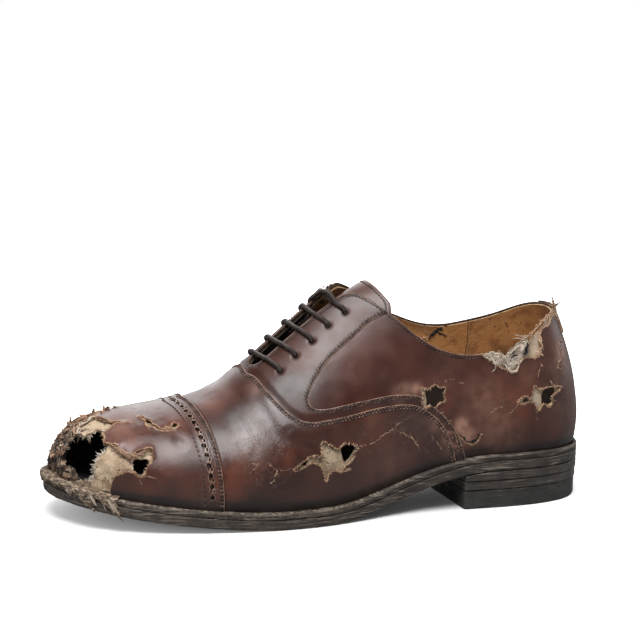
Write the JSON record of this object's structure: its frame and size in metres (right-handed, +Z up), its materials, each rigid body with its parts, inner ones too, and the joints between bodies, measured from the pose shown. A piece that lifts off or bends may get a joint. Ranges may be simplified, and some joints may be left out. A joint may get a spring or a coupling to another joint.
{
  "type": "worn leather cap-toe oxford shoe",
  "caption": "Worn-out brown leather cap-toe Oxford for the left foot, torn at the toe, sides, heel and collar, laced, empty, standing on its sole.",
  "frame": {"origin": "middle of the sole's box on the floor", "axes": "+X towards the toe, +Y towards the outer (little toe) side, +Z up"},
  "size_m": [0.2968, 0.1086, 0.1208],
  "materials": {
    "upper_leather": "polished, scuffed and creased",
    "cap_leather": "polished, torn at the tip",
    "tongue_leather": "soft sheen",
    "sole_leather": "dark edge ink, scuffed and dusty",
    "welt_leather": "dark edge ink, scuffed",
    "heel_leather": "stacked lifts, dark edge ink",
    "heel_rubber": "matt, worn at the back",
    "insole_leather": "matt, stained",
    "lace_cotton": "waxed round cord",
    "lining_leather": "unfinished tan leather, stained",
    "torn_lining": "frayed beige lining and fibres",
    "stitching": "waxed thread"
  },
  "bodies": {
    "root": {"outsole": "sole_leather", "welt": "welt_leather", "heel_top_piece": "heel_rubber", "heel_lift_1": "heel_leather", "heel_lift_2": "heel_leather", "insole": "insole_leather", "upper": "upper_leather", "toe_cap": "cap_leather", "heel_tab": "tongue_leather", "tongue": "tongue_leather", "laces": "lace_cotton"}
  },
  "joints": []
}
